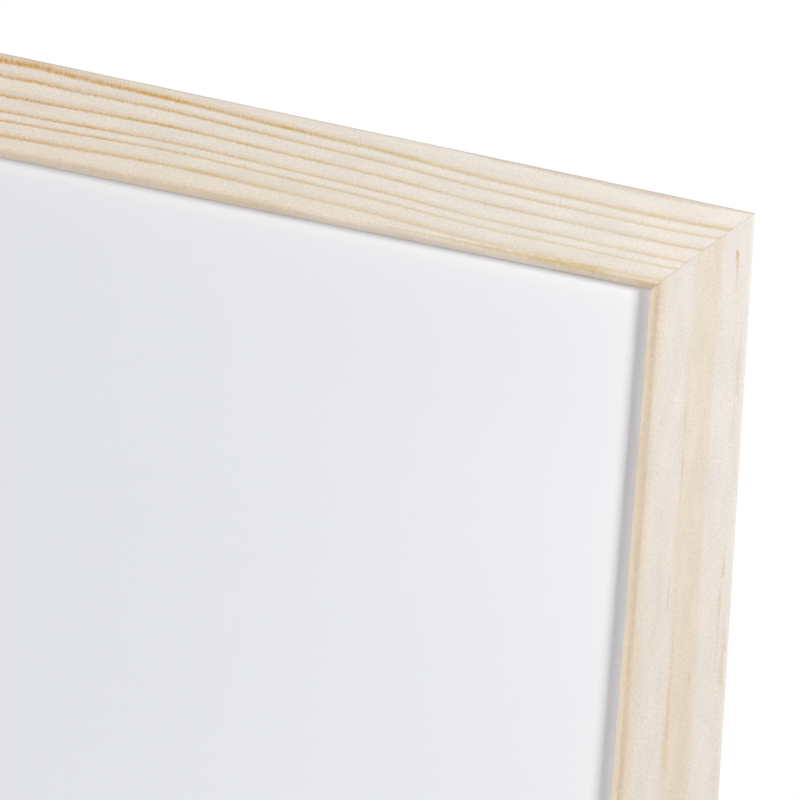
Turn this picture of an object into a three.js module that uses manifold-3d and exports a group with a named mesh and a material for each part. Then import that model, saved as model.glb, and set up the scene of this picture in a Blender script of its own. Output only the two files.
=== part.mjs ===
// A dry-wipe whiteboard in a mitred pine frame, hung on a wall by a sawtooth hanger.
// Millimetres. +X is the viewer's right, +Z is up, and the front faces -Y.
// The wall that the hanger and the bumpers touch is Y = 0.
// X = 0 and Z = 0 are the root of the hanger's middle notch, where a wall nail carries the board.
import * as THREE from "three";
import { mergeVertices } from "three/addons/utils/BufferGeometryUtils.js";
import Module from "manifold-3d";

const wasm = await Module();
wasm.setup();

// Overall size, over the outer edges of the frame
const boardWidth = 600;
const boardHeight = 400;
const frameDepth = 14;

// Pine moulding
const faceWidth = 22; // outer edge to sight edge
const writingRecess = 3.2; // frame's front to the writing surface
const rebateWidth = 7; // how far the lip stands over the panel
const sightRound = 1.5; // rounded sight edge of the lip
const frontArris = 0.8; // sanded outer edge at the front
const backArris = 0.5; // sanded edges at the back
const mitreGap = 0.08; // between the two faces of a mitre

// Panel
const sheetThickness = 0.4; // white lacquered steel
const coreThickness = 4.5; // fibreboard
const backingThickness = 0.4; // balancing card
const glueLine = 0.1; // between two layers
const panelPlay = 0.8; // panel's edge to rebate wall
const panelCorner = 1.5; // rounded corners of the panel

// Clearances
const seatGap = 0.3; // panel to the lip in front of it and to the tabs behind it
const tightGap = 0.12; // around metal driven into wood, and between pieces pressed together
const overrun = 2; // how far a cutting shape runs past what it cuts

// V-nails, two across each mitre
const vNailLeg = 4.6;
const vNailWing = 1.1; // hooked end of a leg
const vNailSheet = 0.5;
const vNailHeight = 7;
const vNailSink = 0.3; // below the frame's back
const vNailPlaceShares = { outer: 0.2, inner: 0.56 }; // of the back's width, from the outer edge

// Flexible tabs that keep the panel in its rebate
const tabLength = 15;
const tabWidth = 6;
const tabSheet = 0.4;
const tabInWood = 6;
const tabBarb = 0.7;
const tabHole = 0.9; // radius
const tabHoleFromEnd = 3;
const tabFromCorner = 90; // board's corner to the first tab
const railTabNames = ["left", "middle", "right"];
const stileTabNames = ["upper", "lower"];

// Sawtooth hangers, one to hang the board upright and one to hang it on its side
const hangerLength = 45;
const hangerHeight = 9;
const hangerSheet = 0.8;
const hangerLand = 11; // flat end that a nail holds down
const hangerSlope = 2; // length of the step up to the bridge
const hangerClear = 1.5; // room behind the bridge for a wall nail's head
const hangerEndRound = 2.5;
const toothPitch = 2.4;
const toothDepth = 1.2;
const toothCount = 7;

// Nails of the hangers
const nailShank = 0.7; // radius
const nailHead = 1.7; // radius
const nailHeadThickness = 0.7;
const nailDrive = 9; // underside of the head to the point
const nailPoint = 1.6;
const nailFromEnd = 4.5; // hanger's end to the nail

// Wall bumpers
const bumperRadius = 4.5;
const bumperRound = 1;
const bumperFromEdge = 32; // board's side edge to the bumper's middle

// Smoothness of round shapes
const arcSteps = 12;
const latheSteps = 28;

// Finishes, as the photograph shows them or as such a part has them
const barePine = { color: "#ebdfcf", roughness: 0.6, metalness: 0 };
const whiteLacquer = { color: "#ebebec", roughness: 0.28, metalness: 0 };
const fibreboard = { color: "#9b7650", roughness: 0.9, metalness: 0 };
const greyCard = { color: "#b7b1a6", roughness: 0.95, metalness: 0 };
const nailSteel = { color: "#8d8f92", roughness: 0.4, metalness: 1 };
const tabSteel = { color: "#5f6266", roughness: 0.45, metalness: 1 };
const zincPlate = { color: "#c3c2bb", roughness: 0.35, metalness: 1 };
const greyRubber = { color: "#5b5c5e", roughness: 0.8, metalness: 0 };

// Places that follow, front to back, from the frame's front face
const lipThickness = writingRecess - seatGap;
const coreFront = writingRecess + sheetThickness + glueLine;
const backingFront = coreFront + coreThickness + glueLine;
const tabFront = backingFront + backingThickness + seatGap;
const vNailFront = frameDepth - vNailSink - vNailHeight;
const hangerFront = frameDepth + tightGap;
const nailSeat = hangerFront + hangerSheet + tightGap;
const wallPlane = hangerFront + hangerClear + hangerSheet;

// Places that follow across and along the frame
const backWidth = faceWidth - rebateWidth;
const panelWidth = boardWidth - 2 * (backWidth + panelPlay);
const panelHeight = boardHeight - 2 * (backWidth + panelPlay);
const backMiddle = backWidth / 2;
const notchFromMiddle = toothDepth - hangerHeight / 2;
const boardMiddle = backMiddle - notchFromMiddle - boardHeight / 2;
const nailReach = hangerLength / 2 - nailFromEnd;
const nailsAt = [-nailReach, nailReach];

const quarterTurn = Math.PI / 2;

// A closed geometry as a solid that can be joined and cut
function solid(geometry) {
  const bare = geometry.clone();
  bare.deleteAttribute("normal");
  bare.deleteAttribute("uv");
  const merged = mergeVertices(bare);
  return new wasm.Manifold(
    new wasm.Mesh({
      numProp: 3,
      vertProperties: merged.attributes.position.array,
      triVerts: new Uint32Array(merged.index.array),
    }),
  );
}

// A cut solid as a geometry with flat faces
function geometryOf(cutSolid) {
  const { vertProperties, numProp, triVerts } = cutSolid.getMesh();
  const faceted = new THREE.BufferGeometry()
    .setAttribute("position", new THREE.BufferAttribute(vertProperties, numProp))
    .setIndex(new THREE.BufferAttribute(triVerts, 1))
    .toNonIndexed();
  faceted.computeVertexNormals();
  return faceted;
}

function piece(name, geometry, finish) {
  const mesh = new THREE.Mesh(geometry, new THREE.MeshStandardMaterial(finish));
  mesh.name = name;
  return mesh;
}

function extruded(shape, depth) {
  return new THREE.ExtrudeGeometry(shape, { depth, bevelEnabled: false, curveSegments: arcSteps });
}

// A shape drawn as seen from the front, with its height along Z, and thickness along Y
function plate(shape, front, thickness) {
  return extruded(shape, thickness)
    .rotateX(quarterTurn)
    .translate(0, front + thickness, 0);
}

// Outline of a strip of sheet metal bent along a path
function stripShape(path, thickness) {
  const normals = path.slice(1).map((end, i) => {
    const along = end.clone().sub(path[i]).normalize();
    return new THREE.Vector2(-along.y, along.x);
  });
  const offsets = path.map((_, i) => {
    const before = normals[Math.max(i - 1, 0)];
    const after = normals[Math.min(i, normals.length - 1)];
    const middle = before.clone().add(after).normalize();
    return middle.multiplyScalar(thickness / 2 / middle.dot(after));
  });
  const oneSide = path.map((point, i) => point.clone().add(offsets[i]));
  const otherSide = path.map((point, i) => point.clone().sub(offsets[i]));
  return new THREE.Shape([...oneSide, ...otherSide.reverse()]);
}

// A hole to punch through a shape
function roundHole(x, y, radius) {
  return new THREE.Path().absarc(x, y, radius, 0, 4 * quarterTurn, true);
}

// Section of the moulding, x from its outer edge to the sight edge and y from front to back
function mouldingShape() {
  const shape = new THREE.Shape();
  const backRound = frameDepth - backArris;
  shape.absarc(frontArris, frontArris, frontArris, 2 * quarterTurn, 3 * quarterTurn);
  shape.absarc(faceWidth - sightRound, sightRound, sightRound, -quarterTurn, 0);
  shape.lineTo(faceWidth, lipThickness);
  shape.lineTo(backWidth, lipThickness);
  shape.absarc(backWidth - backArris, backRound, backArris, 0, quarterTurn);
  shape.absarc(backArris, backRound, backArris, quarterTurn, 2 * quarterTurn);
  shape.closePath();
  return shape;
}

// What two saw cuts at 45 degrees leave of a bar whose outer edge is up
function mitrePlan(outerLength) {
  const halfLength = outerLength / 2 - mitreGap / Math.SQRT2;
  const inner = faceWidth + overrun;
  return new THREE.Shape([
    new THREE.Vector2(-halfLength - overrun, overrun),
    new THREE.Vector2(-halfLength + inner, -inner),
    new THREE.Vector2(halfLength - inner, -inner),
    new THREE.Vector2(halfLength + overrun, overrun),
  ]);
}

// A side of the frame lies along X, with its outer edge up at Z = 0 and its front at Y = 0
function mitredBar(outerLength) {
  const bar = extruded(mouldingShape(), outerLength)
    .rotateY(quarterTurn)
    .translate(-outerLength / 2, 0, 0);
  const mitres = plate(mitrePlan(outerLength), -overrun, frameDepth + 2 * overrun);
  return solid(bar).intersect(solid(mitres));
}

// A V-nail seen from the front, astride the mitre of a top right corner whose tip is at 0, 0
function vNailPath(fromEdge, endSlack) {
  const far = fromEdge + vNailLeg;
  const wing = vNailWing + endSlack;
  return [
    new THREE.Vector2(-far + wing / 2, -fromEdge - wing),
    new THREE.Vector2(-far, -fromEdge),
    new THREE.Vector2(-fromEdge, -fromEdge),
    new THREE.Vector2(-fromEdge, -far),
    new THREE.Vector2(-fromEdge - wing, -far + wing / 2),
  ];
}

const vNailPlaces = Object.entries(vNailPlaceShares).map(([place, share]) => [
  place,
  share * backWidth,
]);

function vNail(fromEdge) {
  return plate(stripShape(vNailPath(fromEdge, 0), vNailSheet), vNailFront, vNailHeight);
}

// The pockets that the V-nails fill in both ends of a side
function vNailPockets(outerLength) {
  const depth = tightGap + vNailHeight + vNailSink + overrun;
  return vNailPlaces.flatMap(([, fromEdge]) => {
    const shape = stripShape(vNailPath(fromEdge, tightGap), vNailSheet + 2 * tightGap);
    const right = plate(shape, vNailFront - tightGap, depth);
    const left = right.clone().rotateY(-quarterTurn);
    return [right.translate(outerLength / 2, 0, 0), left.translate(-outerLength / 2, 0, 0)];
  });
}

// A panel tab, with its barbs up in the wood and its round end down over the panel's back
function tabShape() {
  const [wide, narrow] = [tabWidth / 2, tabWidth / 2 - tabBarb];
  const overPanel = tabLength - tabInWood;
  const firstBarb = tabInWood / 2;
  const barbs = [
    [wide, 0],
    [narrow, firstBarb],
    [wide, firstBarb],
    [narrow, tabInWood],
  ];
  const shape = new THREE.Shape();
  shape.absarc(0, wide - overPanel, wide, 2 * quarterTurn, 4 * quarterTurn);
  barbs.forEach(([x, y]) => shape.lineTo(x, y));
  barbs.reverse().forEach(([x, y]) => shape.lineTo(-x, y));
  shape.closePath();
  shape.holes.push(roundHole(0, tabHoleFromEnd - overPanel, tabHole));
  return shape;
}

function panelTab(along) {
  return plate(tabShape(), tabFront, tabSheet).translate(along, 0, -backWidth);
}

// The slot that a tab is driven into, open at the rebate wall
function tabSlot(along) {
  const [top, bottom] = [tabInWood + tightGap, -overrun];
  const slot = new THREE.BoxGeometry(
    tabWidth + 2 * tightGap,
    tabSheet + 2 * tightGap,
    top - bottom,
  );
  return slot.translate(along, tabFront + tabSheet / 2, (top + bottom) / 2 - backWidth);
}

// Places along a side, the first and last the same distance in from its corners
function tabPlaces(outerLength, count) {
  const reach = outerLength / 2 - tabFromCorner;
  return Array.from({ length: count }, (_, i) => (2 * reach * i) / (count - 1) - reach);
}

// A round nail driven towards the front, with the underside of its head at Y = 0
function hangerNail(slack) {
  const [shank, point] = [nailShank + slack, -nailDrive - slack];
  const rim = nailHeadThickness / 2;
  const profile = [
    new THREE.Vector2(0, point),
    new THREE.Vector2(shank, point + nailPoint),
    new THREE.Vector2(shank, 0),
    new THREE.Vector2(nailHead, 0),
    new THREE.Vector2(nailHead, rim),
    new THREE.Vector2(nailHead - rim, nailHeadThickness),
    new THREE.Vector2(0, nailHeadThickness),
  ];
  return new THREE.LatheGeometry(profile, latheSteps);
}

// Section of a hanger seen from above: two lands on the frame at Y = 0 and a raised bridge
function hangerSection() {
  const [end, foot] = [hangerLength / 2, hangerLength / 2 - hangerLand];
  const [low, high] = [hangerSheet / 2, hangerClear + hangerSheet / 2];
  const path = [
    new THREE.Vector2(-end - overrun, low),
    new THREE.Vector2(-foot, low),
    new THREE.Vector2(hangerSlope - foot, high),
    new THREE.Vector2(foot - hangerSlope, high),
    new THREE.Vector2(foot, low),
    new THREE.Vector2(end + overrun, low),
  ];
  const height = hangerHeight + 2 * overrun;
  return extruded(stripShape(path, hangerSheet), height).translate(0, 0, -height / 2);
}

// Blank of a hanger seen from the front: rounded corners, two nail holes, teeth on the lower edge
function hangerBlank() {
  const [end, half] = [hangerLength / 2, hangerHeight / 2];
  const [cornerX, cornerY] = [end - hangerEndRound, half - hangerEndRound];
  const firstTip = (-toothCount * toothPitch) / 2;
  const shape = new THREE.Shape();
  shape.absarc(-cornerX, -cornerY, hangerEndRound, 2 * quarterTurn, 3 * quarterTurn);
  for (let i = 0; i < toothCount; i += 1) {
    const tip = firstTip + i * toothPitch;
    shape.lineTo(tip, -half);
    shape.lineTo(tip + toothPitch / 2, toothDepth - half);
  }
  shape.lineTo(-firstTip, -half);
  shape.absarc(cornerX, -cornerY, hangerEndRound, -quarterTurn, 0);
  shape.absarc(cornerX, cornerY, hangerEndRound, 0, quarterTurn);
  shape.absarc(-cornerX, cornerY, hangerEndRound, quarterTurn, 2 * quarterTurn);
  shape.closePath();
  for (const x of nailsAt) {
    shape.holes.push(roundHole(x, 0, nailShank + tightGap));
  }
  return plate(shape, -overrun, hangerClear + hangerSheet + 2 * overrun);
}

function sawtoothHanger() {
  return geometryOf(solid(hangerSection()).intersect(solid(hangerBlank())));
}

// A soft disc on the frame's back, as thick as the hangers stand off it
function wallBumper() {
  const thickness = wallPlane - hangerFront;
  const rim = new THREE.Path().absarc(
    bumperRadius - bumperRound,
    thickness - bumperRound,
    bumperRound,
    0,
    quarterTurn,
  );
  const profile = [
    new THREE.Vector2(0, 0),
    new THREE.Vector2(bumperRadius, 0),
    ...rim.getPoints(arcSteps / 2),
    new THREE.Vector2(0, thickness),
  ];
  return new THREE.LatheGeometry(profile, latheSteps);
}

// The white sheet and the layers behind it have one outline
function panelShape() {
  const shape = new THREE.Shape();
  const [x, y] = [panelWidth / 2 - panelCorner, panelHeight / 2 - panelCorner];
  shape.absarc(x, y, panelCorner, 0, quarterTurn);
  shape.absarc(-x, y, panelCorner, quarterTurn, 2 * quarterTurn);
  shape.absarc(-x, -y, panelCorner, 2 * quarterTurn, 3 * quarterTurn);
  shape.absarc(x, -y, panelCorner, 3 * quarterTurn, 4 * quarterTurn);
  shape.closePath();
  return shape;
}

// One side of the frame with the tabs driven into it, and bores where a hanger's nails go
function frameSide(name, outerLength, tabNames, boresAt = []) {
  const side = new THREE.Group();
  const places = tabPlaces(outerLength, tabNames.length);
  const bores = boresAt.map((x) => hangerNail(tightGap).translate(x, nailSeat, -backMiddle));
  const tools = [...vNailPockets(outerLength), ...places.map(tabSlot), ...bores];
  const wood = tools.reduce((left, tool) => left.subtract(solid(tool)), mitredBar(outerLength));
  side.add(piece(name, geometryOf(wood), barePine));
  const [where] = name.split("_");
  tabNames.forEach((tabName, i) => {
    side.add(piece(`panel_tab_${where}_${tabName}`, panelTab(places[i]), tabSteel));
  });
  return side;
}

// A hanger in the middle of a side, held by two nails
function addHanger(side, name, nailNames) {
  const strip = sawtoothHanger().translate(0, hangerFront, -backMiddle);
  side.add(piece(name, strip, zincPlate));
  nailNames.forEach((nailName, i) => {
    const nail = hangerNail(0).translate(nailsAt[i], nailSeat, -backMiddle);
    side.add(piece(`${name}_nail_${nailName}`, nail, zincPlate));
  });
}

// A bumper near each end of a rail
function addBumpers(side, where, ends) {
  const reach = boardWidth / 2 - bumperFromEdge;
  ends.forEach((end, i) => {
    const bumper = wallBumper().translate(i ? reach : -reach, hangerFront, -backMiddle);
    side.add(piece(`wall_bumper_${where}_${end}`, bumper, greyRubber));
  });
}

// Turns a part that is drawn on the top side to another side, in quarter turns to the right
function turned(part, quarterTurns) {
  const arm = new THREE.Group();
  arm.rotation.y = quarterTurns * quarterTurn;
  return arm.add(part);
}

const board = new THREE.Group();
board.position.set(0, -wallPlane, boardMiddle);

// Sides of the frame, drawn with the outer edge up, so that names run the other way on the
// bottom and the left
const top = frameSide("top_rail", boardWidth, railTabNames, nailsAt);
const right = frameSide("right_stile", boardHeight, stileTabNames);
const bottom = frameSide("bottom_rail", boardWidth, railTabNames.toReversed());
const left = frameSide("left_stile", boardHeight, stileTabNames.toReversed(), nailsAt);
addHanger(top, "hanger_top", ["left", "right"]);
addHanger(left, "hanger_side", ["lower", "upper"]);
addBumpers(top, "top", ["left", "right"]);
addBumpers(bottom, "bottom", ["right", "left"]);

[top, right, bottom, left].forEach((side, i) => {
  side.position.z = (i % 2 ? boardWidth : boardHeight) / 2;
  board.add(turned(side, i));
});

// V-nails, drawn for the top right corner and turned to the others
["top_right", "bottom_right", "bottom_left", "top_left"].forEach((corner, i) => {
  const nails = new THREE.Group();
  const [along, across] = i % 2 ? [boardHeight, boardWidth] : [boardWidth, boardHeight];
  nails.position.set(along / 2, 0, across / 2);
  for (const [place, fromEdge] of vNailPlaces) {
    nails.add(piece(`v_nail_${corner}_${place}`, vNail(fromEdge), nailSteel));
  }
  board.add(turned(nails, i));
});

// Panel
const layers = [
  ["writing_sheet", writingRecess, sheetThickness, whiteLacquer],
  ["core_board", coreFront, coreThickness, fibreboard],
  ["backing_sheet", backingFront, backingThickness, greyCard],
];
for (const [name, front, thickness, finish] of layers) {
  board.add(piece(name, plate(panelShape(), front, thickness), finish));
}

const whiteboard = new THREE.Group();
whiteboard.add(board);

export default whiteboard;
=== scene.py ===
# %% [markdown]
# # A whiteboard in a pine frame
# The real object is a picture frame made for a board: four lengths of one pine moulding, sawn at
# 45 degrees and glued into a rectangle, round a sheet of white lacquered steel on fibreboard.
# The measured model of it is loaded first. Every piece that is made here goes where that model
# says, in metres, so nothing has to be fitted afterwards.

# %% Load the measured model
import math

import bmesh
import bpy
from mathutils import Matrix, Vector


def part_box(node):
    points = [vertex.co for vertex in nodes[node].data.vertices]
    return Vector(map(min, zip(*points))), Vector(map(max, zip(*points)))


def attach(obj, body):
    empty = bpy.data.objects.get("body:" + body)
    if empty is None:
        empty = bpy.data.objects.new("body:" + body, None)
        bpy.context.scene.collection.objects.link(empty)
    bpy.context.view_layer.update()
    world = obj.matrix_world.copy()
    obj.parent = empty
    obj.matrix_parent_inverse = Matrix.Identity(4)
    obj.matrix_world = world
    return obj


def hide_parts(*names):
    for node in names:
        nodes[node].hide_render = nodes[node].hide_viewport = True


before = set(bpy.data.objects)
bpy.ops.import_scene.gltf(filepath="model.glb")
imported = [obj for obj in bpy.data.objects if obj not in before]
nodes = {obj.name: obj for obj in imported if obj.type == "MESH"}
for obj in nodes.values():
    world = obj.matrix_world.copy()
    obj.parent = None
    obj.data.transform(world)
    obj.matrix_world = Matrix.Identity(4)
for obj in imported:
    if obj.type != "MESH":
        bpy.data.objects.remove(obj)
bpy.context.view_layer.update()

MM = 0.001
bpy.ops.object.select_all(action="DESELECT")

# %% [markdown]
# ## The camera
# The photograph looks at the top right corner from half a metre away, from below and from the
# left. Its place was worked out from the two vanishing points of the frame's edges, and the lens
# is 104 mm long. A camera looks along its own -Z, so the columns of its matrix are the
# directions right, up and backwards.

# %% Camera
RIGHT = Vector((0.96127, -0.25401, 0.10692))
UP = Vector((-0.18075, -0.28822, 0.94035))
EYE = Vector((125.09, -457.01, -202.15)) * MM
LENS_MM, SENSOR_MM = 103.86, 36
NEAREST = 10 * MM

camera = bpy.data.objects.new("camera", bpy.data.cameras.new("camera"))
bpy.context.scene.collection.objects.link(camera)
bpy.context.scene.camera = camera
looking = Matrix((RIGHT, UP, RIGHT.cross(UP))).transposed()
camera.matrix_world = Matrix.Translation(EYE) @ looking.to_4x4()
camera.data.lens = LENS_MM
camera.data.sensor_width = SENSOR_MM
camera.data.clip_start = NEAREST
print("camera at", tuple(camera.location))

# %% [markdown]
# ## Modelling by place
# The pieces that show are modelled here with the tools of edit mode, as by hand. By hand a face is
# picked with a click; in a script it is picked by its place. `pick` selects the vertices, edges or
# faces that lie wholly inside a range of x, y and z, and only those that face one way, if it is
# given a direction.

# %% Picking by place
TINY = 0.01 * MM
ALIGNED = 0.99  # the cosine of eight degrees


def pick(kind, facing=None, **ranges):
    bpy.ops.mesh.select_mode(type=kind)
    bpy.ops.mesh.select_all(action="DESELECT")
    mesh = bmesh.from_edit_mesh(bpy.context.edit_object.data)
    items = {"VERT": mesh.verts, "EDGE": mesh.edges, "FACE": mesh.faces}[kind]
    for item in items:
        points = [item.co] if kind == "VERT" else [vertex.co for vertex in item.verts]
        inside = all(
            lowest - TINY < point["xyz".index(axis)] < highest + TINY
            for axis, (lowest, highest) in ranges.items()
            for point in points
        )
        if facing:
            inside = inside and item.normal.dot(Vector(facing).normalized()) > ALIGNED
        item.select_set(inside)
    mesh.select_flush_mode()
    bmesh.update_edit_mesh(bpy.context.edit_object.data)


# %% [markdown]
# A tool works on all that is selected, so each piece is first taken alone. A primitive is only a
# start: a box or a disc is added at its size and place, which then go into its mesh, and its faces
# are shaped from there. The axis of a disc points at the wall.

# %% Primitives to start from
def take(piece):
    if bpy.context.mode != "OBJECT":
        bpy.ops.object.mode_set(mode="OBJECT")
    bpy.ops.object.select_all(action="DESELECT")
    piece.select_set(True)
    bpy.context.view_layer.objects.active = piece


def edit(piece):
    take(piece)
    bpy.ops.object.mode_set(mode="EDIT")


def put_in_mesh(piece):
    take(piece)
    bpy.ops.object.transform_apply(location=True, rotation=True, scale=True)


def box(name, lowest, highest):
    lowest, highest = Vector(lowest), Vector(highest)
    bpy.ops.object.select_all(action="DESELECT")
    bpy.ops.mesh.primitive_cube_add(size=1, location=(lowest + highest) / 2)
    piece = bpy.context.object
    piece.name = piece.data.name = name
    piece.scale = highest - lowest
    put_in_mesh(piece)
    return piece


def disc(name, middle, radius, thickness, corners):
    bpy.ops.object.select_all(action="DESELECT")
    bpy.ops.mesh.primitive_cylinder_add(
        vertices=corners, radius=radius, depth=thickness,
        location=middle, rotation=(math.pi / 2, 0, 0),
    )
    piece = bpy.context.object
    piece.name = piece.data.name = name
    put_in_mesh(piece)
    return piece


# %% [markdown]
# A shaped piece is finished with modifiers, and its shading is rounded over the shallow edges
# only. A copy gets a mesh of its own. Then the piece goes into the assembly: it rides on the board
# and shows in the place of the measured piece.

# %% Finishing a piece
shown = dict(nodes)  # for each measured piece, what shows of it


def apply_modifier(piece, kind, **settings):
    bpy.context.view_layer.objects.active = piece
    modifier = piece.modifiers.new(kind.lower(), kind)
    for name, value in settings.items():
        setattr(modifier, name, value)
    bpy.ops.object.modifier_apply(modifier=modifier.name)


def smooth(piece, degrees):
    """Normals left over from a boolean would hide the sharp edges, so they are cleared first."""
    put_in_mesh(piece)
    bpy.ops.mesh.customdata_custom_splitnormals_clear()
    bpy.ops.object.shade_smooth_by_angle(angle=math.radians(degrees))
    apply_modifier(piece, "WEIGHTED_NORMAL", keep_sharp=True, weight=100)


def copy_of(piece, name):
    twin = piece.copy()
    twin.data = piece.data.copy()
    twin.name = twin.data.name = name
    bpy.context.scene.collection.objects.link(twin)
    return twin


def piece_from(piece, node):
    put_in_mesh(piece)
    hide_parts(node)
    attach(piece, "root")
    shown[node] = piece
    print(piece.name, "stands for", node, "with", len(piece.data.polygons), "faces")


# %% [markdown]
# ## The four sides of the frame
# A moulding like this is planed on a machine in one long length: a square bar, a rebate cut out of
# its back for the panel, and the edges rounded. The lip that is left at the front has a round of
# 1.5 mm, and the other edges are only broken with sandpaper. So the model starts as a bar, the lip
# is drawn out of it, and the edges are bevelled, each with its own radius.
#
# The face of the writing sheet lies 3.2 mm behind the front of the frame. Behind the lip of the
# rails a thin dark gap shows over the sheet, and behind the lip of the stiles there is hardly any,
# so the two lips differ in thickness.
#
# Then come the saw cuts at 45 degrees. On the real frame the joint is tight, and it opens a hair at
# the inner corner, where the saw leaves the wood. That is a second, slightly turned cut which takes
# off only the last four millimetres, and a tiny bevel breaks the sawn edges.

# %% Measures of the moulding, in metres
rail_low, rail_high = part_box("top_rail")
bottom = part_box("bottom_rail")[0].z
front, back = rail_low.y, rail_high.y
MIDDLE = Vector((0, 0, (rail_high.z + bottom) / 2))
FACE_WIDTH, BACK_WIDTH, SPARE_LENGTH = 22 * MM, 15 * MM, 1 * MM
RAIL_LIP, STILE_LIP = 2.9 * MM, 3.18 * MM
SIGHT_ROUND, FRONT_ARRIS, BACK_ARRIS = 1.5 * MM, 0.8 * MM, 0.5 * MM
JOINT_GAP, JOINT_ARRIS = 0.015 * MM, 0.04 * MM
OPEN_LENGTH, OPEN_GAP = 4 * MM, 0.09 * MM
print("moulding from", round(front / MM, 2), "to", round(back / MM, 2), "mm")


# %% One side, drawn with its outer edge up
def moulding(name, length, outer, lip):
    half, sight, rebate = length / 2, outer - FACE_WIDTH, outer - BACK_WIDTH
    end = half + SPARE_LENGTH
    bar = box(name, (-end, front, rebate), (end, back, outer))
    edit(bar)
    bpy.ops.mesh.select_all(action="SELECT")
    bpy.ops.mesh.bisect(plane_co=(0, front + lip, 0), plane_no=(0, 1, 0))
    pick("FACE", z=(rebate, rebate), y=(front, front + lip))
    bpy.ops.mesh.extrude_region_move(TRANSFORM_OT_translate={"value": (0, 0, sight - rebate)})
    for radius, steps, y, z in (
        (SIGHT_ROUND, 8, front, sight),
        (FRONT_ARRIS, 5, front, outer),
        (BACK_ARRIS, 3, back, outer),
        (BACK_ARRIS, 3, back, rebate),
    ):
        pick("EDGE", y=(y, y), z=(z, z))
        bpy.ops.mesh.bevel(offset=radius, segments=steps, affect="EDGES")
    for side in (-1, 1):
        saw_mitre(side, half, outer)
    bpy.ops.object.mode_set(mode="OBJECT")
    return bar


def saw_mitre(side, half, outer):
    """The cut through the whole end, the one that opens the joint, and the broken edges."""
    gap = Vector((side * JOINT_GAP, 0, 0))
    tip = Vector((side * half, 0, outer)) - gap
    inner = Vector((side * (half - FACE_WIDTH), 0, outer - FACE_WIDTH)) - gap
    opens = inner + Vector((side, 0, 1)).normalized() * OPEN_LENGTH
    for point, turned in ((tip, 0), (opens, math.atan(OPEN_GAP / OPEN_LENGTH))):
        lean = math.pi / 4 + turned
        normal = (side * math.cos(lean), 0, -math.sin(lean))
        bpy.ops.mesh.select_all(action="SELECT")
        bpy.ops.mesh.bisect(plane_co=point, plane_no=normal, clear_outer=True, use_fill=True)
    pick("FACE", facing=(side, 0, -1))
    bpy.ops.mesh.region_to_loop()
    bpy.ops.mesh.bevel(offset=JOINT_ARRIS, segments=1, affect="EDGES")


# %% The four sides
def turn(piece, quarter_turns):
    """Turns a piece about the board's middle, from the top side to another one."""
    there = Matrix.Translation(MIDDLE)
    angle = quarter_turns * math.pi / 2
    piece.matrix_world = there @ Matrix.Rotation(angle, 4, "Y") @ there.inverted()
    put_in_mesh(piece)


half_width, half_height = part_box("right_stile")[1].x, rail_high.z - MIDDLE.z
rail = moulding("top_rail_wood", 2 * half_width, MIDDLE.z + half_height, RAIL_LIP)
stile = moulding("right_stile_wood", 2 * half_height, MIDDLE.z + half_width, STILE_LIP)
woods = {
    "top_rail": rail,
    "right_stile": stile,
    "bottom_rail": copy_of(rail, "bottom_rail_wood"),
    "left_stile": copy_of(stile, "left_stile_wood"),
}
for quarter_turns, wood in enumerate(woods.values()):
    turn(wood, quarter_turns)
print("four sides,", len(rail.data.polygons), "faces each")

# %% [markdown]
# The V-nails, the panel tabs and the nails of the hangers sit in the wood. Each is driven in, and
# leaves a slot of its own shape with a hair of room round it. So a slot is cut with a copy of the
# metal itself, swollen by a tenth of a millimetre. The measured mesh is loose triangles, and its
# copy is welded first. The V-nails lie a little under the surface, and the copy of those is drawn
# out past the back, which leaves the open mouth of the slot.

# %% Slots for the metal
ROOM = 0.1 * MM
PAST_THE_BACK = 2 * MM
WELD = 0.001 * MM


def swollen(name):
    tool = bpy.data.objects.new("slot_" + name, nodes[name].data.copy())
    bpy.context.scene.collection.objects.link(tool)
    edit(tool)
    bpy.ops.mesh.select_all(action="SELECT")
    bpy.ops.mesh.remove_doubles(threshold=WELD)
    bpy.ops.transform.shrink_fatten(value=ROOM, use_even_offset=True)
    if name.startswith("v_nail"):
        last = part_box(name)[1].y + ROOM
        pick("VERT", y=(last - ROOM, last + ROOM))
        bpy.ops.transform.translate(value=(0, PAST_THE_BACK, 0))
    bpy.ops.object.mode_set(mode="OBJECT")
    return tool


# Words in the names of what sits in each side
METAL = {
    "top_rail": ("v_nail_top", "panel_tab_top", "hanger_top_nail"),
    "right_stile": ("right_outer", "right_inner", "panel_tab_right"),
    "bottom_rail": ("v_nail_bottom", "panel_tab_bottom"),
    "left_stile": ("left_outer", "left_inner", "panel_tab_left", "hanger_side_nail"),
}
for side, wood in woods.items():
    inside = [name for name in nodes if any(words in name for words in METAL[side])]
    for name in inside:
        tool = swollen(name)
        apply_modifier(wood, "BOOLEAN", operation="DIFFERENCE", solver="EXACT", object=tool)
        bpy.data.objects.remove(tool)
    smooth(wood, degrees=30)
    piece_from(wood, side)

# %% [markdown]
# ## Sawtooth hangers
# A hanger is stamped from a strip of zinc-plated steel 0.8 mm thick. The die cuts the teeth and the
# round ends and drives the middle up into a bridge, behind which a wall nail's head has room. Here
# the flat strip is cut across where it will bend, its middle is moved out, and the four bends are
# bevelled, so that they are round as bent metal is. The teeth are drawn by moving every second
# corner of the lower edge. The die also rolls the edges over a little: one last small bevel.

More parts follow.
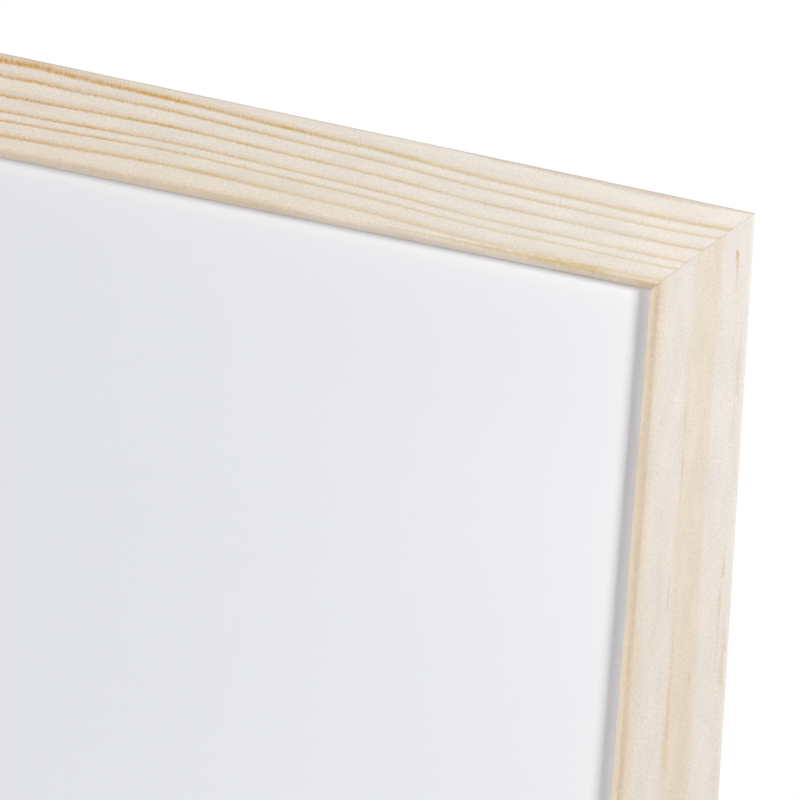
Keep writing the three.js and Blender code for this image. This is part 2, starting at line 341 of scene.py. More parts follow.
# %% Measures of a hanger
SHEET, CLEAR, TOOTH, PITCH, TEETH = 0.8 * MM, 1.5 * MM, 1.2 * MM, 2.4 * MM, 7
FOOT, BRIDGE, BEND, END_ROUND = 11.5 * MM, 9.5 * MM, 0.7 * MM, 2.5 * MM
NAIL_AT, NAIL_HOLE = 18 * MM, 0.82 * MM
EDGE_ROUND, EDGE_ANGLE = 0.08 * MM, 1  # the angle is in radians, about 57 degrees
hanger_low, hanger_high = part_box("hanger_top")
print("hanger", [round(v / MM, 2) for v in hanger_high - hanger_low], "mm")


# %% One hanger
def sawtooth_hanger(name):
    lowest, highest = hanger_low.copy(), hanger_high.copy()
    highest.y = lowest.y + SHEET
    strip = box(name, lowest, highest)
    edit(strip)
    tips = [(i - TEETH) * PITCH / 2 for i in range(2 * TEETH + 1)]
    for x in [-FOOT, -BRIDGE, *tips, BRIDGE, FOOT]:
        bpy.ops.mesh.select_all(action="SELECT")
        bpy.ops.mesh.bisect(plane_co=(x, 0, 0), plane_no=(1, 0, 0))
    for x in tips[1::2]:
        pick("VERT", x=(x, x), z=(lowest.z, lowest.z))
        bpy.ops.transform.translate(value=(0, 0, TOOTH))
    for end in (lowest.x, highest.x):
        for edge in (lowest.z, highest.z):
            pick("EDGE", x=(end, end), z=(edge, edge))
            bpy.ops.mesh.bevel(offset=END_ROUND, segments=6, affect="EDGES")
    pick("VERT", x=(-BRIDGE, BRIDGE))
    bpy.ops.transform.translate(value=(0, CLEAR, 0))
    for x, raised in ((-FOOT, 0), (-BRIDGE, CLEAR), (BRIDGE, CLEAR), (FOOT, 0)):
        for y in (lowest.y + raised, highest.y + raised):
            pick("EDGE", x=(x, x), y=(y, y))
            bpy.ops.mesh.bevel(offset=BEND, segments=3, affect="EDGES")
    bpy.ops.object.mode_set(mode="OBJECT")
    for x in (-NAIL_AT, NAIL_AT):
        middle = (x, lowest.y, (lowest.z + highest.z) / 2)
        punch = disc("punch", middle, NAIL_HOLE, 4 * SHEET, corners=24)
        apply_modifier(strip, "BOOLEAN", operation="DIFFERENCE", solver="EXACT", object=punch)
        bpy.data.objects.remove(punch)
    apply_modifier(
        strip, "BEVEL", width=EDGE_ROUND, segments=2, limit_method="ANGLE", angle_limit=EDGE_ANGLE,
    )
    return strip


# %% The second hanger, on the left stile
def on_the_left_stile(piece):
    """From the middle of the top rail to the middle of the left stile."""
    piece.location = (0, 0, half_width - half_height)
    put_in_mesh(piece)
    turn(piece, quarter_turns=3)


top_hanger = sawtooth_hanger("top_hanger_strip")
side_hanger = copy_of(top_hanger, "side_hanger_strip")
on_the_left_stile(side_hanger)
for piece, node in ((top_hanger, "hanger_top"), (side_hanger, "hanger_side")):
    smooth(piece, degrees=35)
    piece_from(piece, node)

# %% [markdown]
# The nails are short and round. The head is a disc with a rounded rim, and the shank and the point
# are drawn out of its underside, so head and shank are one closed mesh.

# %% Hanger nails
HEAD, HEAD_THICK, HEAD_ROUND = 1.7 * MM, 0.7 * MM, 0.35 * MM
SHANK, POINT = 0.7 * MM, 1.6 * MM


def hanger_nail(name, node):
    lowest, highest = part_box(node)
    middle = (lowest + highest) / 2
    middle.y = highest.y - HEAD_THICK / 2
    under = highest.y - HEAD_THICK
    nail = disc(name, middle, HEAD, HEAD_THICK, corners=32)
    edit(nail)
    pick("FACE", y=(under, under))
    bpy.ops.mesh.inset(thickness=HEAD - SHANK)
    for step in (lowest.y + POINT - under, -POINT):
        bpy.ops.mesh.extrude_region_move(TRANSFORM_OT_translate={"value": (0, step, 0)})
    bpy.ops.mesh.merge(type="CENTER")
    pick("FACE", y=(highest.y, highest.y))
    bpy.ops.mesh.region_to_loop()
    bpy.ops.mesh.bevel(offset=HEAD_ROUND, segments=4, affect="EDGES")
    bpy.ops.object.mode_set(mode="OBJECT")
    return nail


first_nail = hanger_nail("top_nail_left", "hanger_top_nail_left")
nails = {"hanger_top_nail_left": first_nail}
for node in ("hanger_top_nail_right", "hanger_side_nail_upper", "hanger_side_nail_lower"):
    nails[node] = copy_of(first_nail, node.replace("hanger_", "") + "_copy")
    nails[node].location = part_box(node)[0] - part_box("hanger_top_nail_left")[0]
for node, nail in nails.items():
    smooth(nail, degrees=50)
    piece_from(nail, node)

# %% [markdown]
# ## Wall bumpers
# A bumper is a soft moulded disc, as thick as the hangers stand off the frame. Its rim is well
# rounded, so that it comes out of its mould, and its face is dished a little, so that it grips the
# wall with a ring. A disc is rounded with a bevel, and the dish is made of inset faces, each pushed
# in a little further.

# %% Bumpers
RIM_ROUND, FLAT_RING = 1 * MM, 0.7 * MM
DISH_WIDTHS, DISH_STEPS = (0.35 * MM, 0.35 * MM, 0.8 * MM), (0.12 * MM, 0.14 * MM, 0.06 * MM)


def wall_bumper(name, node):
    lowest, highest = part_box(node)
    middle, size = (lowest + highest) / 2, highest - lowest
    bumper = disc(name, middle, size.x / 2, size.y, corners=64)
    edit(bumper)
    face = (highest.y, highest.y)
    pick("FACE", y=face)
    bpy.ops.mesh.region_to_loop()
    bpy.ops.mesh.bevel(offset=RIM_ROUND, segments=6, affect="EDGES")
    pick("FACE", y=face)
    bpy.ops.mesh.inset(thickness=FLAT_RING)
    for width, step in zip(DISH_WIDTHS, DISH_STEPS):
        bpy.ops.mesh.inset(thickness=width)
        bpy.ops.transform.translate(value=(0, -step, 0))
    bpy.ops.object.mode_set(mode="OBJECT")
    return bumper


first_bumper = wall_bumper("bumper_top_left", "wall_bumper_top_left")
bumpers = {"wall_bumper_top_left": first_bumper}
for place in ("top_right", "bottom_left", "bottom_right"):
    node = "wall_bumper_" + place
    bumpers[node] = copy_of(first_bumper, "bumper_" + place)
    bumpers[node].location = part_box(node)[0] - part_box("wall_bumper_top_left")[0]
for node, bumper in bumpers.items():
    smooth(bumper, degrees=50)
    piece_from(bumper, node)

# %% [markdown]
# ## How the materials are made
# Colours are written as a painter or a web page gives them, and Blender mixes light in linear
# numbers, so one function turns a code such as "ebdfcf" to linear. A second small function adds
# any node, gives it its settings, and joins what comes in: a socket is linked, and anything else
# is a plain value. It returns the node's output, or a list where there are several.
#
# An input goes by its label or by its number. So a Map Range node takes its input 0 from the
# range between 1 and 2 to the range between 3 and 4.

# %% Colours and nodes
OBJECT_POINT = 3  # the output of Texture Coordinate for a point on the object


def linear(code):
    """The curve of the sRGB standard, with its own constants."""
    shares = [int(code[i : i + 2], 16) / 255 for i in (0, 2, 4)]
    return [c / 12.92 if c < 0.04045 else ((c + 0.055) / 1.055) ** 2.4 for c in shares] + [1]


def grey(value):
    return [value, value, value, 1]


def add(tree, kind, inputs=(), stops=(), **settings):
    node = tree.nodes.new("ShaderNode" + kind)
    for name, value in settings.items():
        setattr(node, name, value)
    sockets = [socket for socket in node.inputs if socket.enabled]
    for key, value in dict(inputs).items():
        named = [socket for socket in sockets if socket.name == key]
        socket = named[0] if named else sockets[key]
        if isinstance(value, bpy.types.NodeSocket):
            tree.links.new(value, socket)
        else:
            socket.default_value = value
    for i, (position, colour) in enumerate(stops):
        ramp = node.color_ramp.elements
        stop = ramp[i] if i < 2 else ramp.new(position)
        stop.position, stop.color = position, colour
    outputs = [socket for socket in node.outputs if socket.enabled]
    return outputs[0] if len(outputs) == 1 else outputs


# %% [markdown]
# Three things come back in every finish. A pattern of blotches has a size in millimetres and
# runs from a least to a most. A colour is made lighter or darker by such patterns, one after the
# other. And at the end the colour and a relief with its height are joined to the surface.

# %% What the finishes share
def new_material(name):
    material = bpy.data.materials.new(name)
    material.use_nodes = True
    tree = material.node_tree
    return material, tree, tree.nodes["Principled BSDF"]


def blotches(tree, point, size, detail, least, most):
    small = add(tree, "VectorMath", {0: point, 1: [1 / s for s in size]}, operation="MULTIPLY")
    cloud = add(tree, "TexNoise", {"Vector": small, "Scale": 1, "Detail": detail})[0]
    # Nearly all of the noise lies between 0.3 and 0.7
    return add(tree, "MapRange", {0: cloud, 1: 0.3, 2: 0.7, 3: least, 4: most}, clamp=False)


def shaded(tree, colour, *patterns):
    for pattern in patterns:
        colour = add(tree, "VectorMath", {0: colour, "Scale": pattern}, operation="SCALE")
    return colour


def join_to(skin, colour, relief, strength, height):
    tree = skin.id_data
    bump = add(tree, "Bump", {"Strength": strength, "Distance": height, "Height": relief})
    tree.links.new(bump, skin.inputs["Normal"])
    tree.links.new(colour, skin.inputs["Base Color"])


def finish_with(names, material):
    for name in names:
        shown[name].data.materials.clear()
        shown[name].data.materials.append(material)
    print(material.name, "on", len(names), "pieces,", len(material.node_tree.nodes), "nodes")


# %% [markdown]
# ## Pine, planed and sanded, bare
# Pine grows a wide pale layer in spring and a thin dense one in summer, which is orange brown
# and ends sharply where the next spring begins. A saw cuts a moulding out of those layers, so
# its lines are slices of a solid pattern and not a picture laid on a face. The material is
# therefore a solid one: it works out how many millimetres deep in the growth layers a point
# lies, bends that by the slow waves of the trunk, and looks the colour up on a scale.
#
# Each side of the frame is another length of wood. A Mapping node turns every side as if it were
# the top one, in millimetres: X along the grain from a corner, Y back from the front face, and Z
# up to the outer edge.

# %% Where each length of wood starts
# Quarter turns from the top side, and the corner where the grain is measured from
STARTS = {
    "top_rail": (0, Vector((rail_high.x, front, rail_high.z))),
    "right_stile": (1, Vector((rail_high.x, front, rail_high.z))),
    "bottom_rail": (2, Vector((rail_high.x, front, bottom))),
    "left_stile": (3, Vector((rail_low.x, front, rail_high.z))),
}


def along_the_grain(tree, side):
    quarter_turns, corner = STARTS[side]
    angle = -quarter_turns * math.pi / 2
    start = Matrix.Rotation(angle, 3, "Y") @ corner
    return add(tree, "Mapping", {
        "Vector": add(tree, "TexCoord")[OBJECT_POINT],
        "Location": -start / MM,
        "Rotation": (0, angle, 0),
        "Scale": [1 / MM] * 3,
    })


print(len(STARTS), "lengths of wood")

# %% [markdown]
# Each side gives the wood numbers of its own. The first step is how deep in the growth layers a
# point lies. The layers lean back into the wood, from a level at the front edge. Each wave of the
# trunk has a swing, a length and a shift along the grain. And over a part of the length the
# layers crowd out to the edge: from where, to where, how far, and how wide a strip.

# %% How deep in the growth layers
def growth_depth(tree, wood, along, depth, height):
    inputs = {0: depth, 1: wood["lean"], 2: wood["level"]}
    layer = add(tree, "Math", inputs, operation="MULTIPLY_ADD")
    for swing, length, shift in wood["waves"]:
        inputs = {0: along, 1: math.tau / length, 2: math.tau * shift / length}
        angle = add(tree, "Math", inputs, operation="MULTIPLY_ADD")
        wave = add(tree, "Math", {0: angle}, operation="COSINE")
        layer = add(tree, "Math", {0: wave, 1: swing, 2: layer}, operation="MULTIPLY_ADD")
    layer = add(tree, "Math", {0: layer, 1: height}, operation="SUBTRACT")
    begins, ends, rise, reach = wood["crowding"]
    near = add(tree, "MapRange", {0: along, 1: begins, 2: ends, 3: 0, 4: 1})
    outer = add(tree, "MapRange", {0: height, 1: -reach, 2: 0, 3: 0, 4: rise})
    bend = add(tree, "Math", {0: near, 1: 2}, operation="POWER")
    return add(tree, "Math", {0: bend, 1: outer, 2: layer}, operation="MULTIPLY_ADD")


# %% [markdown]
# The depth is looked up on a scale of summer lines, which is a colour ramp in millimetres from the
# outer edge. It is pale through the spring wood, darkens over a millimetre or two, and falls back
# at once after the line, as a real growth ring does. Each line has its place, the length of the
# slow fade and of the dark part before it, and its strength.

# %% The scale of the summer lines
SCALE_START, SCALE_LENGTH = -2.5, 24.5
DARK_PART_STARTS, DARKEST_BEFORE, PALE_AFTER = 0.32, 0.15, 0.5


def on_scale(place):
    return (place - SCALE_START) / SCALE_LENGTH


def ring_stops(rings):
    stops = [(0, grey(0))]
    for place, fade, width, strength in rings:
        stops += [
            (on_scale(place - fade), grey(0)),
            (on_scale(place - width), grey(DARK_PART_STARTS * strength)),
            (on_scale(place - DARKEST_BEFORE * width), grey(strength)),
            (on_scale(place + PALE_AFTER * width), grey(0)),
        ]
    return stops


# %% [markdown]
# Single marks, such as streaks of resin, are drawn one by one: where the streak begins, how far it
# lies from the outer edge, its length, its width and how dark it is, with a negative length for
# one that runs the other way. It starts blunt, tapers to a point, and wavers with the wood.

# %% A streak of resin
BLUNT_FROM, BLUNT_TO = -0.06, 0.03
WAVER = 0.8
SOFT_EDGE = 0.7


def streak(tree, mark, along, height, jitter):
    begins, inwards, length, width, dark = mark
    inputs = {0: along, 1: begins, 2: begins + length, 3: 0, 4: 1}
    gone = add(tree, "MapRange", inputs, clamp=False)
    taper = add(tree, "MapRange", {0: gone, 1: 0, 2: 1, 3: width, 4: 0})
    blunt = add(tree, "MapRange", {0: gone, 1: BLUNT_FROM, 2: BLUNT_TO, 3: 0, 4: dark})
    aside = add(tree, "Math", {0: height, 1: inwards}, operation="ADD")
    aside = add(tree, "Math", {0: jitter, 1: WAVER, 2: aside}, operation="MULTIPLY_ADD")
    aside = add(tree, "Math", {0: aside}, operation="ABSOLUTE")
    left = add(tree, "Math", {0: taper, 1: aside}, operation="SUBTRACT")
    drawn = add(tree, "MapRange", {0: left, 1: 0, 2: SOFT_EDGE * width, 3: 0, 4: 1})
    return add(tree, "Math", {0: drawn, 1: blunt}, operation="MULTIPLY")


# %% [markdown]
# The patterns in the wood have a size in millimetres along, into and across the grain. Blotches
# that are stretched along the grain are fibres, and those that are short along it are the fine
# ticks which a planer leaves across the dense lines, and the rays of the wood. The fibres are
# drawn 0.25 mm wide so that they show. Dense lines are a little smoother than the rest, and stand
# a little proud after sanding.

# %% Patterns in the wood: size, detail, least and most
WOBBLE = (60, 14, 14), 1, -0.15, 0.15
RAGGED = (0.8, 2.2, 2.2), 2, -0.12, 0.12
TICKS = (0.4, 1.5, 1.5), 2, -0.4, 0.25
PATCHES = (14, 3, 3), 2, 0.72, 1.15
FIBRES = (5, 0.25, 0.25), 3, 0.975, 1.02
RAYS = (0.3, 1.4, 1.4), 2, 0.98, 1.016
MOTTLE = (0.7, 0.4, 0.4), 2, 0.93, 1.06
CLOUDS = (14, 2.5, 2.5), 2, 0.96, 1.03

# Where the lip takes its own tone and painted light, how strong the ticks are, the relief, and the
# gloss
LIP_TONE_AND_LIGHT_FROM, LIP_TONE_AND_LIGHT_FULL, LIP_TONE_AND_LIGHT = -20.2, -22, 0.75
TICKS_LEAST, TICKS_MORE = 0.4, 0.6
PROUD_LINES, PROUD_MOTTLE, RELIEF_HEIGHT = 0.6, 0.8, 0.12 * MM
PINE_ROUGH, LINES_SMOOTHER = 0.62, 0.12


# %% The wood of one side
def pine(side, wood):
    material, tree, skin = new_material("sanded_pine_" + side)
    point = along_the_grain(tree, side)
    along, depth, height = add(tree, "SeparateXYZ", {0: point})

    # The place on the scale, with a slow wobble and a ragged edge on the lines
    layer = growth_depth(tree, wood, along, depth, height)
    wobble = blotches(tree, point, *WOBBLE)
    ragged = blotches(tree, point, *RAGGED)
    jitter = add(tree, "Math", {0: wobble, 1: ragged}, operation="ADD")
    layer = add(tree, "Math", {0: layer, 1: jitter}, operation="ADD")
    inputs = {0: layer, 1: 1 / SCALE_LENGTH, 2: -SCALE_START / SCALE_LENGTH}
    place = add(tree, "Math", inputs, operation="MULTIPLY_ADD")
    place = add(tree, "Math", {0: place}, operation="FRACT")

    # Summer wood: the lines, weaker towards one end, in ticks across the grain, and the marks
    summer = add(tree, "ValToRGB", {0: place}, ring_stops(wood["rings"]))[0]
    (from_x, from_strength), (to_x, to_strength) = wood["strength"]
    dense = add(tree, "MapRange", {0: along, 1: from_x, 2: to_x, 3: 1, 4: 0})
    inputs = {0: dense, 1: from_strength - to_strength, 2: to_strength}
    strong = add(tree, "Math", inputs, operation="MULTIPLY_ADD")
    inputs = {0: dense, 1: TICKS_MORE, 2: TICKS_LEAST}
    rough = add(tree, "Math", inputs, operation="MULTIPLY_ADD")
    ticks = blotches(tree, point, *TICKS)
    ticks = add(tree, "Math", {0: ticks, 1: rough, 2: 1}, operation="MULTIPLY_ADD")
    patches = blotches(tree, point, *PATCHES)
    for factor in (strong, ticks, patches):
        summer = add(tree, "Math", {0: summer, 1: factor}, operation="MULTIPLY")
    for mark in wood["marks"]:
        drawn = streak(tree, mark, along, height, jitter)
        inputs = {0: drawn, 1: patches, 2: summer}
        summer = add(tree, "Math", inputs, operation="MULTIPLY_ADD")

    # Spring wood: a tone for its place, with painted shade near the top rail's outer edge, tinted
    # towards one end, and on the lip a warmer tone that also carries painted light and shade on its
    # inner faces
    tones_and_edge_shade = [(on_scale(inwards), linear(code)) for inwards, code in wood["tones_and_edge_shade"]]
    colour = add(tree, "ValToRGB", {0: place}, tones_and_edge_shade)[0]
    at_start, at_end = wood["tinted"]
    end_tint = add(tree, "MapRange", {0: along, 1: from_x, 2: to_x, 3: at_start, 4: at_end})
    inputs = {0: height, 1: LIP_TONE_AND_LIGHT_FROM, 2: LIP_TONE_AND_LIGHT_FULL, 3: 0, 4: LIP_TONE_AND_LIGHT}
    lip_tone_and_painted_light = add(tree, "MapRange", inputs)
    for share, code in ((end_tint, wood["tint"]), (lip_tone_and_painted_light, wood["lip"])):
        inputs = {"Factor": share, "A": colour, "B": linear(code)}
        colour = add(tree, "Mix", inputs, data_type="RGBA")

    # The summer lines over it, then the fine patterns
    dense_end, other_end = [linear(code) for code in wood["late"]]
    inputs = {"Factor": dense, "A": other_end, "B": dense_end}
    late = add(tree, "Mix", inputs, data_type="RGBA")
    colour = add(tree, "Mix", {"Factor": summer, "A": colour, "B": late}, data_type="RGBA")
    fibres = blotches(tree, point, *FIBRES)
    rays = blotches(tree, point, *RAYS)
    mottle = blotches(tree, point, *MOTTLE)
    clouds = blotches(tree, point, *CLOUDS)
    colour = shaded(tree, colour, fibres, rays, mottle, clouds)

    relief = add(tree, "Math", {0: summer, 1: PROUD_LINES, 2: fibres}, operation="MULTIPLY_ADD")
    relief = add(tree, "Math", {0: mottle, 1: PROUD_MOTTLE, 2: relief}, operation="MULTIPLY_ADD")
    join_to(skin, colour, relief, strength=0.5, height=RELIEF_HEIGHT)
    inputs = {0: summer, 1: -LINES_SMOOTHER, 2: PINE_ROUGH}
    gloss = add(tree, "Math", inputs, operation="MULTIPLY_ADD")
    tree.links.new(gloss, skin.inputs["Roughness"])
    skin.inputs["IOR"].default_value = 1.5
    return material


# %% [markdown]
# The numbers of the top rail and the right stile follow the photograph. Of the other two sides
# nothing is seen, so they get ordinary numbers of the same kind. Lengths are in millimetres,
# along the grain from the corner where a side starts, and inwards from its outer edge.
#
# The strength of the summer lines is given at two places along the grain, and the share of the
# tint and the late colours of the summer wood belong to the same two. The tones are those of the
# spring wood, from the outer edge inwards. On the top rail the grey brown ones near the outer
# edge are painted shade on its rounded edge.

# %% Numbers of the four lengths
WOODS = {
    "top_rail": {
        "lean": 0.6,
        "level": -0.35,
        "waves": [(1.55, 200, 130), (0.12, 45, 85)],
        "crowding": (-115, -160, 2.4, 9),
        "rings": [
            (2.4, 0.9, 0.3, 0.15),
            (4.4, 2, 0.9, 0.95),
            (6.9, 1.3, 0.6, 0.8),
            (10.2, 1.5, 0.6, 0.85),
            (13.7, 1.4, 0.6, 0.75),
            (15.7, 0.9, 0.45, 0.72),
            (19.1, 1.7, 0.8, 0.65),
        ],
        "strength": ((-165, 1.3), (-60, 0.62)),
        "marks": [
            (-2, 21.6, -44, 1.1, 0.62),
            (-34, 21.15, -66, 0.9, 0.66),
            (-105, 21.5, -170, 1.3, 0.24),
        ],
        "tones_and_edge_shade": [
            (-2.5, "ebdfd2"),
            (-2.1, "ebdfd2"),
            # Painted shade: this darker grey brown band near the outer edge stands for the rounded
            # outer edge turned away from the light
            (-1.8, "dccdbd"),
            (-0.7, "dfd1c2"),
            (-0.2, "ede4d8"),
            (10, "ece3d7"),
            (20, "ebe1d3"),
            (22, "eaded0"),
        ],
        "tint": "f2e2ce",
        "tinted": (0.6, 0),
        # The lip colour is the wood's warmer tone there, and also painted light and shade on the
        # lip's inner faces
        "lip": "f5e3cf",
        "late": ("d2a052", "caa648"),
    },
    "right_stile": {
        "lean": 0.8,
        "level": -1.4,
        "waves": [(0.35, 160, 20)],
        "crowding": (60, 200, 1, 9),
        "rings": [(21.05, 1.9, 0.9, 0.22)],
        "strength": ((0, 0.7), (110, 1.2)),
        "marks": [
            (10, 3.75, 5, 0.28, 0.8),
            (10.5, 3.45, 12, 0.5, 0.55),
            (43, 1.7, -24, 0.45, 0.28),
            (34, 2.1, 30, 0.3, 0.25),
            (14, 12.5, 6, 0.2, 0.3),
            (48, 8.8, 6, 0.24, 0.3),
            (48, 13, 12, 0.24, 0.28),
            (60, 12.9, 24, 0.4, 0.36),
            (93, 14.1, -12, 0.32, 0.3),
            (126, 12.3, -50, 1, 0.28),
            (130, 10.2, -75, 4.2, 0.08),
            (106, 8.2, 5, 0.26, 0.4),
            (84, 2.2, -10, 0.3, 0.5),
            (88, 2.6, 24, 0.7, 0.26),
            (107, 1.3, -20, 0.9, 0.26),
            (100, 0.7, -5, 0.45, 0.36),
        ],
        "tones_and_edge_shade": [
            (-2.5, "e7d6bb"),
            (-1.8, "eae4dd"),
            (0, "e9e2d9"),
            (1, "ebe2d9"),
            (5, "ebe3da"),
            (6.2, "e7d9c8"),
            (8.6, "e7dac8"),
            (11, "e9dccc"),
            (12.8, "ebe2d9"),
            (15.6, "ebe2d8"),
            (17.6, "e9dfd2"),
            (19.6, "e7d6bb"),
        ],
        "tint": "cdbba6",
        "tinted": (0, 0.24),
        # The lip colour is the wood's warmer tone there, and also painted light and shade on the
        # lip's inner faces
        "lip": "edd9be",
        "late": ("c8a05c", "c8a05c"),
    },
    "bottom_rail": {
        "lean": 0.5,
        "level": -0.2,
        "waves": [(1.1, 260, 40), (0.3, 90, 10)],
        "crowding": (380, 560, 2.5, 12),
        "rings": [
            (1.8, 1.2, 0.5, 0.5),
            (5.9, 1.8, 0.6, 0.8),
            (9.1, 1.4, 0.6, 0.85),
            (12.9, 1.7, 0.7, 0.8),
            (15.4, 1.1, 0.5, 0.6),
            (18.8, 1.5, 0.6, 0.7),
        ],
        "strength": ((0, 0.6), (560, 0.9)),
        "marks": [(205, 11, 14, 0.35, 0.6)],
        "tones_and_edge_shade": [(-2.5, "ece4d8"), (10, "ece4da"), (20, "ebe2d5"), (22, "ebdfca")],
        "tint": "e6d8c2",
        "tinted": (0.1, 0.6),
        "lip": "ecd7b6",
        "late": ("cfa44a", "cfa44a"),
    },
    "left_stile": {
        "lean": 0.4,
        "level": 0.3,
        "waves": [(0.6, 240, 90), (0.2, 75, 10)],
        "crowding": (-230, -390, 1.6, 10),
        "rings": [
            (3.4, 1.6, 0.5, 0.5),
            (8.6, 2.2, 0.6, 0.7),
            (14.9, 2.4, 0.6, 0.65),
            (19.8, 1.8, 0.5, 0.7),
        ],
        "strength": ((-390, 0.8), (0, 0.6)),
        "marks": [(-126, 6.2, 11, 0.3, 0.6), (-306, 16.5, 9, 0.3, 0.5)],
        "tones_and_edge_shade": [(-2.5, "eae1d4"), (6, "ece3d8"), (14, "ebddcc"), (22, "e9dcc9")],
        "tint": "e6d8c4",
        "tinted": (0.4, 0),
        "lip": "ecd8b8",
        "late": ("cfa44a", "cfa44a"),
    },
}
for side, wood in WOODS.items():
    finish_with([side], pine(side, wood))

# %% [markdown]
# ## The writing sheet
# White lacquer, rolled on steel and baked. It is as smooth as paint gets without polish, so it
# mirrors soft shapes only, and years of wiping leave faint clouds in its gloss.

# %% White lacquer
def in_millimetres(tree):
    point = add(tree, "TexCoord")[OBJECT_POINT]
    return add(tree, "Mapping", {"Vector": point, "Scale": [1 / MM] * 3})


lacquer, tree, skin = new_material("baked_white_lacquer")
point = in_millimetres(tree)
wiped = blotches(tree, point, size=(70, 40, 40), detail=3, least=0.4, most=0.46)
orange_peel = blotches(tree, point, size=(1.6, 1.6, 1.6), detail=1, least=0, most=1)
shade = blotches(tree, point, size=(120, 90, 90), detail=2, least=0.99, most=1.01)
white = shaded(tree, linear("ececee")[:3], shade)
join_to(skin, white, orange_peel, strength=0.2, height=0.01 * MM)
tree.links.new(wiped, skin.inputs["Roughness"])
skin.inputs["IOR"].default_value = 1.5
finish_with(["writing_sheet"], lacquer)

# %% [markdown]
# ## What is behind the sheet
# The core is fibreboard: wood ground to fluff and pressed. Its sawn edge is a plain brown, woolly
# close up, with faint marks of the saw. The backing is grey card made of old paper, full of
# flecks, which is glued on so that the board doesn't bend.

# %% Fibreboard
fibreboard, tree, skin = new_material("sawn_fibreboard")
point = in_millimetres(tree)
fluff = blotches(tree, point, size=(0.9, 0.25, 0.9), detail=4, least=0.82, most=1.12)
saw_marks = blotches(tree, point, size=(0.35, 6, 0.35), detail=1, least=0.93, most=1.05)
brown = shaded(tree, linear("a07a52")[:3], fluff, saw_marks)
join_to(skin, brown, fluff, strength=0.6, height=0.1 * MM)
skin.inputs["Roughness"].default_value = 0.9
finish_with(["core_board"], fibreboard)

# %% Grey card, with dark and pale flecks of printed paper about 1 mm long
DARK_FLECKS = (0.5, 1, 1.6), 0.71, "6f6a66"
PALE_FLECKS = (1.3, 1, 0.5), 0.72, "ddd8cf"
FLECK_EDGE, FLECK_STRENGTH = 0.05, 0.7

card, tree, skin = new_material("grey_recycled_card")
point = in_millimetres(tree)
pulp = blotches(tree, point, size=(3.5, 3.5, 2.2), detail=4, least=0.95, most=1.04)
felt = blotches(tree, point, size=(30, 30, 90), detail=2, least=0.96, most=1.03)
colour = shaded(tree, linear("b9b2a6")[:3], pulp, felt)
for size, rare, code in (DARK_FLECKS, PALE_FLECKS):
    small = add(tree, "VectorMath", {0: point, 1: [1 / s for s in size]}, operation="MULTIPLY")
    spots = add(tree, "TexNoise", {"Vector": small, "Scale": 1, "Detail": 1})[0]
    inputs = {0: spots, 1: rare, 2: rare + FLECK_EDGE, 3: 0, 4: FLECK_STRENGTH}
    share = add(tree, "MapRange", inputs)
    inputs = {"Factor": share, "A": colour, "B": linear(code)}
    colour = add(tree, "Mix", inputs, data_type="RGBA")
join_to(skin, colour, pulp, strength=0.5, height=0.08 * MM)
skin.inputs["Roughness"].default_value = 0.93
finish_with(["backing_sheet"], card)

# %% [markdown]
# ## Metal and rubber on the back
# Three steels: bright rolled strip for the V-nails, dark spring steel for the panel tabs, and
# zinc plate on the hangers and their nails, whose crystals make a soft patchy grey. The bumpers
# are moulded rubber, matt, with a fine grain from the mould.

# %% Steels
def steel(name, code, rough, uneven, patch, scratch):
    material, tree, skin = new_material(name)
    point = in_millimetres(tree)
    patches = blotches(tree, point, size=[patch] * 3, detail=3, least=1 - uneven, most=1 + uneven)
    scratches = blotches(tree, point, size=scratch, detail=2, least=0.94, most=1.05)
    colour = shaded(tree, linear(code)[:3], patches, scratches)
    join_to(skin, colour, scratches, strength=0.25, height=0.03 * MM)
    spread = add(tree, "Math", {0: patches, 1: rough}, operation="MULTIPLY")
    tree.links.new(spread, skin.inputs["Roughness"])
    skin.inputs["Metallic"].default_value = 1
    return material


def starting_with(word):
    return [name for name in nodes if name.startswith(word)]


rolled = steel(
    "rolled_nail_steel", "9a9c9f", rough=0.38, uneven=0.08, patch=2, scratch=(6, 6, 0.2),
)
spring = steel(
    "dark_spring_steel", "66696d", rough=0.42, uneven=0.12, patch=3, scratch=(0.3, 6, 6),
)
zinc = steel(
    "zinc_plated_steel", "c6c5be", rough=0.34, uneven=0.1, patch=1.5, scratch=(5, 5, 0.3),
)
finish_with(starting_with("v_nail"), rolled)
finish_with(starting_with("panel_tab"), spring)
finish_with(starting_with("hanger"), zinc)

# %% Rubber
rubber, tree, skin = new_material("moulded_grey_rubber")
point = in_millimetres(tree)
grain = blotches(tree, point, size=(0.3, 0.3, 0.3), detail=2, least=0.9, most=1.1)
dark_grey = shaded(tree, linear("5b5c5e")[:3], grain)
join_to(skin, dark_grey, grain, strength=0.4, height=0.05 * MM)
skin.inputs["Roughness"].default_value = 0.78
finish_with(starting_with("wall_bumper"), rubber)

# %% [markdown]
# ## Floor, light and background
# A plain pale floor lies under the board, and fades with distance into the white around it. The
# camera sees it mostly as white too, so that no more than a pale shadow of the board lies on it.
# Both are done by mixing in a see-through shader, behind which the white sky shows.

# %% Floor
FLOOR_RADIUS, FADE_STARTS, FADE_ENDS = 4, 0.35, 1.4  # metres
WHITE_SHARE = 0.6
CAMERA_RAY, GLOSSY_RAY, TRANSMISSION_RAY = 0, 3, 6  # outputs of Light Path

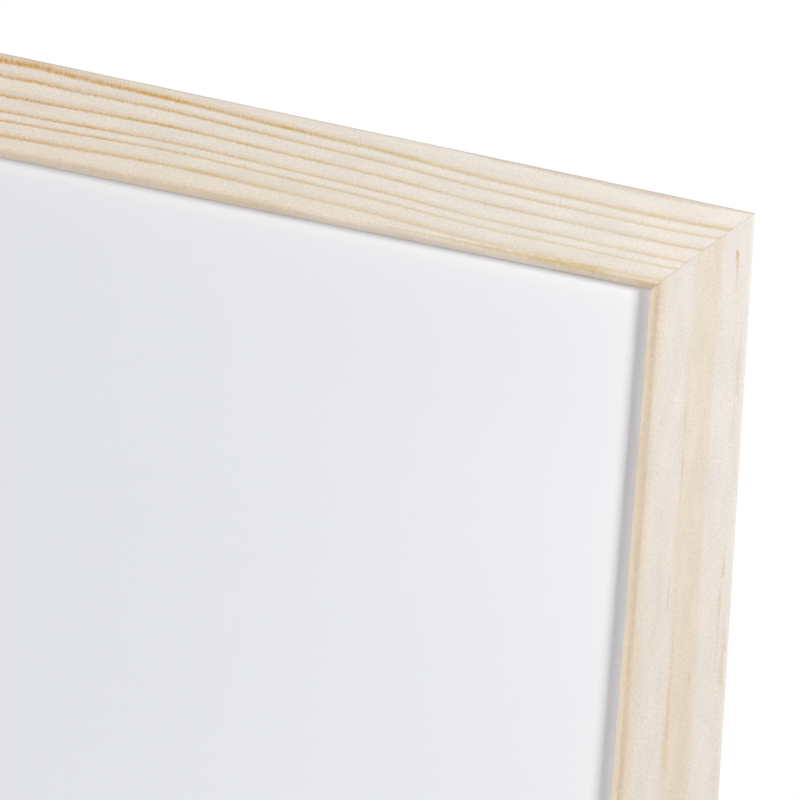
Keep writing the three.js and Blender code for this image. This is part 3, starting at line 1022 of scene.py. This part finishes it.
bpy.ops.mesh.primitive_circle_add(
    vertices=96, radius=FLOOR_RADIUS, fill_type="NGON", location=(0, 0, bottom),
)
floor = bpy.context.object
floor.name = "floor"
bpy.ops.object.select_all(action="DESELECT")
paper, tree, skin = new_material("pale_floor")
skin.inputs["Base Color"].default_value = linear("efefee")
skin.inputs["Roughness"].default_value = 0.8
away = add(tree, "VectorMath", {0: add(tree, "TexCoord")[OBJECT_POINT]}, operation="LENGTH")
inputs = {0: away, 1: FADE_STARTS, 2: FADE_ENDS, 3: 0, 4: 1}
fade = add(tree, "MapRange", inputs, interpolation_type="SMOOTHSTEP")
from_camera = add(tree, "LightPath")[CAMERA_RAY]
pale = add(tree, "Math", {0: from_camera, 1: WHITE_SHARE}, operation="MULTIPLY")
share = add(tree, "Math", {0: fade, 1: pale}, operation="MAXIMUM")
see_through = add(tree, "BsdfTransparent")
blend = add(tree, "MixShader", {0: share, 1: skin.outputs[0], 2: see_through})
tree.links.new(blend, tree.nodes["Material Output"].inputs["Surface"])
floor.data.materials.append(paper)
print("floor at", bottom)

# %% [markdown]
# The lamps are round, and each stands at a distance from the point that it aims at. The key lamp,
# to the right and a little above, throws the narrow soft shadow of the right stile on the writing
# sheet. The left lamp, low and farther off, fills that shadow and lights the lip of the stile. The
# back lamp lights the back and the top of the board and doesn't reach its front. None of them is
# seen by the camera. Distances and sizes are in metres.

# %% Lamps
def soft_lamp(name, towards, distance, size, watts, aim, code="ffffff"):
    lamp = bpy.data.objects.new(name, bpy.data.lights.new(name, "AREA"))
    bpy.context.scene.collection.objects.link(lamp)
    lamp.data.shape = "DISK"
    lamp.data.size = size
    lamp.data.energy = watts
    lamp.data.color = linear(code)[:3]
    direction = Vector(towards).normalized()
    lamp.location = Vector(aim) + direction * distance
    lamp.rotation_euler = direction.to_track_quat("Z", "Y").to_euler()
    lamp.visible_camera = False
    print(name, "at", [round(v, 2) for v in lamp.location])


soft_lamp(
    "key_lamp", towards=(1.28, -1, 0.4), distance=0.85, size=0.285, watts=6.4,
    aim=(0.28, 0, -0.02), code="fffefb",
)
soft_lamp(
    "left_lamp", towards=(-1.65, -1, -0.27), distance=2, size=0.21, watts=25.4,
    aim=(0.2, 0, -0.02), code="f7faff",
)
soft_lamp(
    "back_lamp", towards=(-0.3, 1, 0.7), distance=1.8, size=1, watts=22, aim=(0, 0, -0.19),
)

# %% [markdown]
# The sky adds a weak even light, a little blue. To the camera, in reflections and through what is
# transparent it is plain white.

# %% Sky
FILL = 0.1

sky = bpy.data.worlds.new("sky")
bpy.context.scene.world = sky
sky.use_nodes = True
tree = sky.node_tree
background = tree.nodes["Background"]
path = add(tree, "LightPath")
seen = add(tree, "Math", {0: path[CAMERA_RAY], 1: path[GLOSSY_RAY]}, operation="MAXIMUM")
seen = add(tree, "Math", {0: seen, 1: path[TRANSMISSION_RAY]}, operation="MAXIMUM")
strength = add(tree, "MapRange", {0: seen, 1: 0, 2: 1, 3: FILL, 4: 1})
tree.links.new(strength, background.inputs["Strength"])
tint = add(tree, "Mix", {"Factor": seen, "A": linear("eef2ff"), "B": grey(1)}, data_type="RGBA")
tree.links.new(tint, background.inputs["Color"])
bpy.context.scene.view_settings.view_transform = "Standard"
print("sky fills with", FILL)
